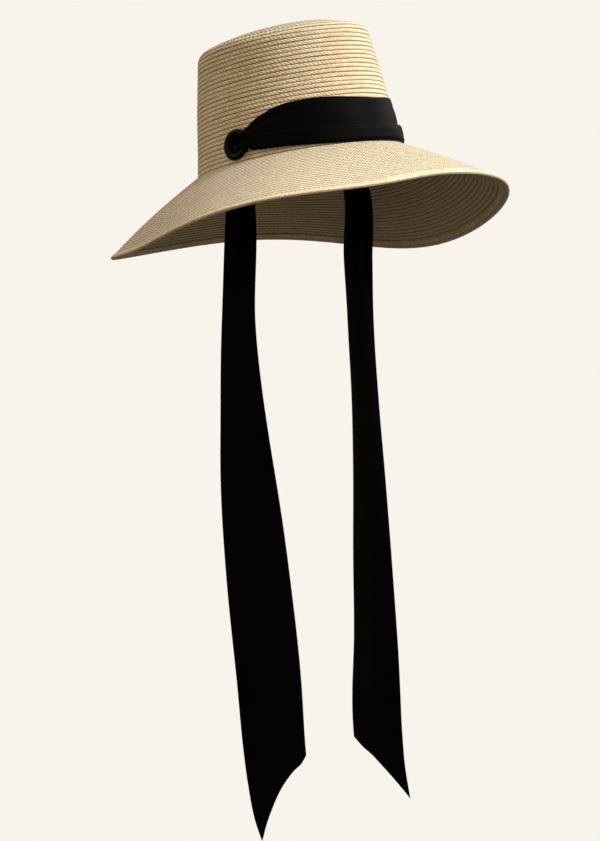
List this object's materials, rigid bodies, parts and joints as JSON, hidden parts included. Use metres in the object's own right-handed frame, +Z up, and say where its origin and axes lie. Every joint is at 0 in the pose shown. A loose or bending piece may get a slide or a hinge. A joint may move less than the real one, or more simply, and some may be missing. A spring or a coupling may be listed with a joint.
{
  "type": "sun hat",
  "caption": "Wide-brimmed straw sun hat with a tall, softly domed crown, a scarf band across the front and two long chin ties through side eyelets.",
  "frame": {"origin": "centre of the head opening, on the plane where the crown meets the brim", "axes": "+Z up as the hat is worn, with the ties hanging straight down; -Y is the front of the hat; +X is the wearer's left. The hat sits tipped back, so its own axis leans 11 degrees from +Z towards +Y."},
  "size_m": [0.3743, 0.3676, 0.739],
  "materials": {
    "straw": "sewn rows of plaited paper-straw braid, matt with a dry sheen",
    "straw_edge": "one row of the same braid folded over the brim edge",
    "wire": "drawn millinery wire with a crimped joiner",
    "grosgrain": "ribbed grosgrain ribbon",
    "thread": "matt cotton thread",
    "label": "blank woven label",
    "eyelet": "smooth black with a soft gloss",
    "eyelet_washer": "smooth black backing ring",
    "scarf": "black fluid satin-back crepe with a soft sheen"
  },
  "bodies": {
    "hat": {"crown": "straw", "brim": "straw", "brim_edge_binding": "straw_edge", "brim_wire": "wire", "wire_joiner": "wire", "sweatband": "grosgrain", "sweatband_stitches": "thread", "size_label": "label", "eyelet_left": "eyelet", "eyelet_right": "eyelet", "eyelet_washer_left": "eyelet_washer", "eyelet_washer_right": "eyelet_washer", "scarf_band": "scarf", "scarf_gather_left": "scarf", "scarf_gather_right": "scarf"},
    "tie_left_top": {"tie_left_upper": "scarf"},
    "tie_left_end": {"tie_left_lower": "scarf"},
    "tie_right_top": {"tie_right_upper": "scarf"},
    "tie_right_end": {"tie_right_lower": "scarf"}
  },
  "joints": [
    {"name": "tie_left_swing", "type": "hinge", "parent": "hat", "child": "tie_left_top", "pos_m": [0.07625, 0.00305, -0.007], "axis": [1, 0, 0], "range_deg": [-60, 40]},
    {"name": "tie_left_fold", "type": "hinge", "parent": "tie_left_top", "child": "tie_left_end", "pos_m": [0.07625, 0.00305, -0.25], "axis": [0, -1, 0], "range_deg": [-10, 60]},
    {"name": "tie_right_swing", "type": "hinge", "parent": "hat", "child": "tie_right_top", "pos_m": [-0.07625, 0.00305, -0.007], "axis": [1, 0, 0], "range_deg": [-60, 40]},
    {"name": "tie_right_fold", "type": "hinge", "parent": "tie_right_top", "child": "tie_right_end", "pos_m": [-0.07625, 0.00305, -0.25], "axis": [0, 1, 0], "range_deg": [-10, 60]}
  ]
}
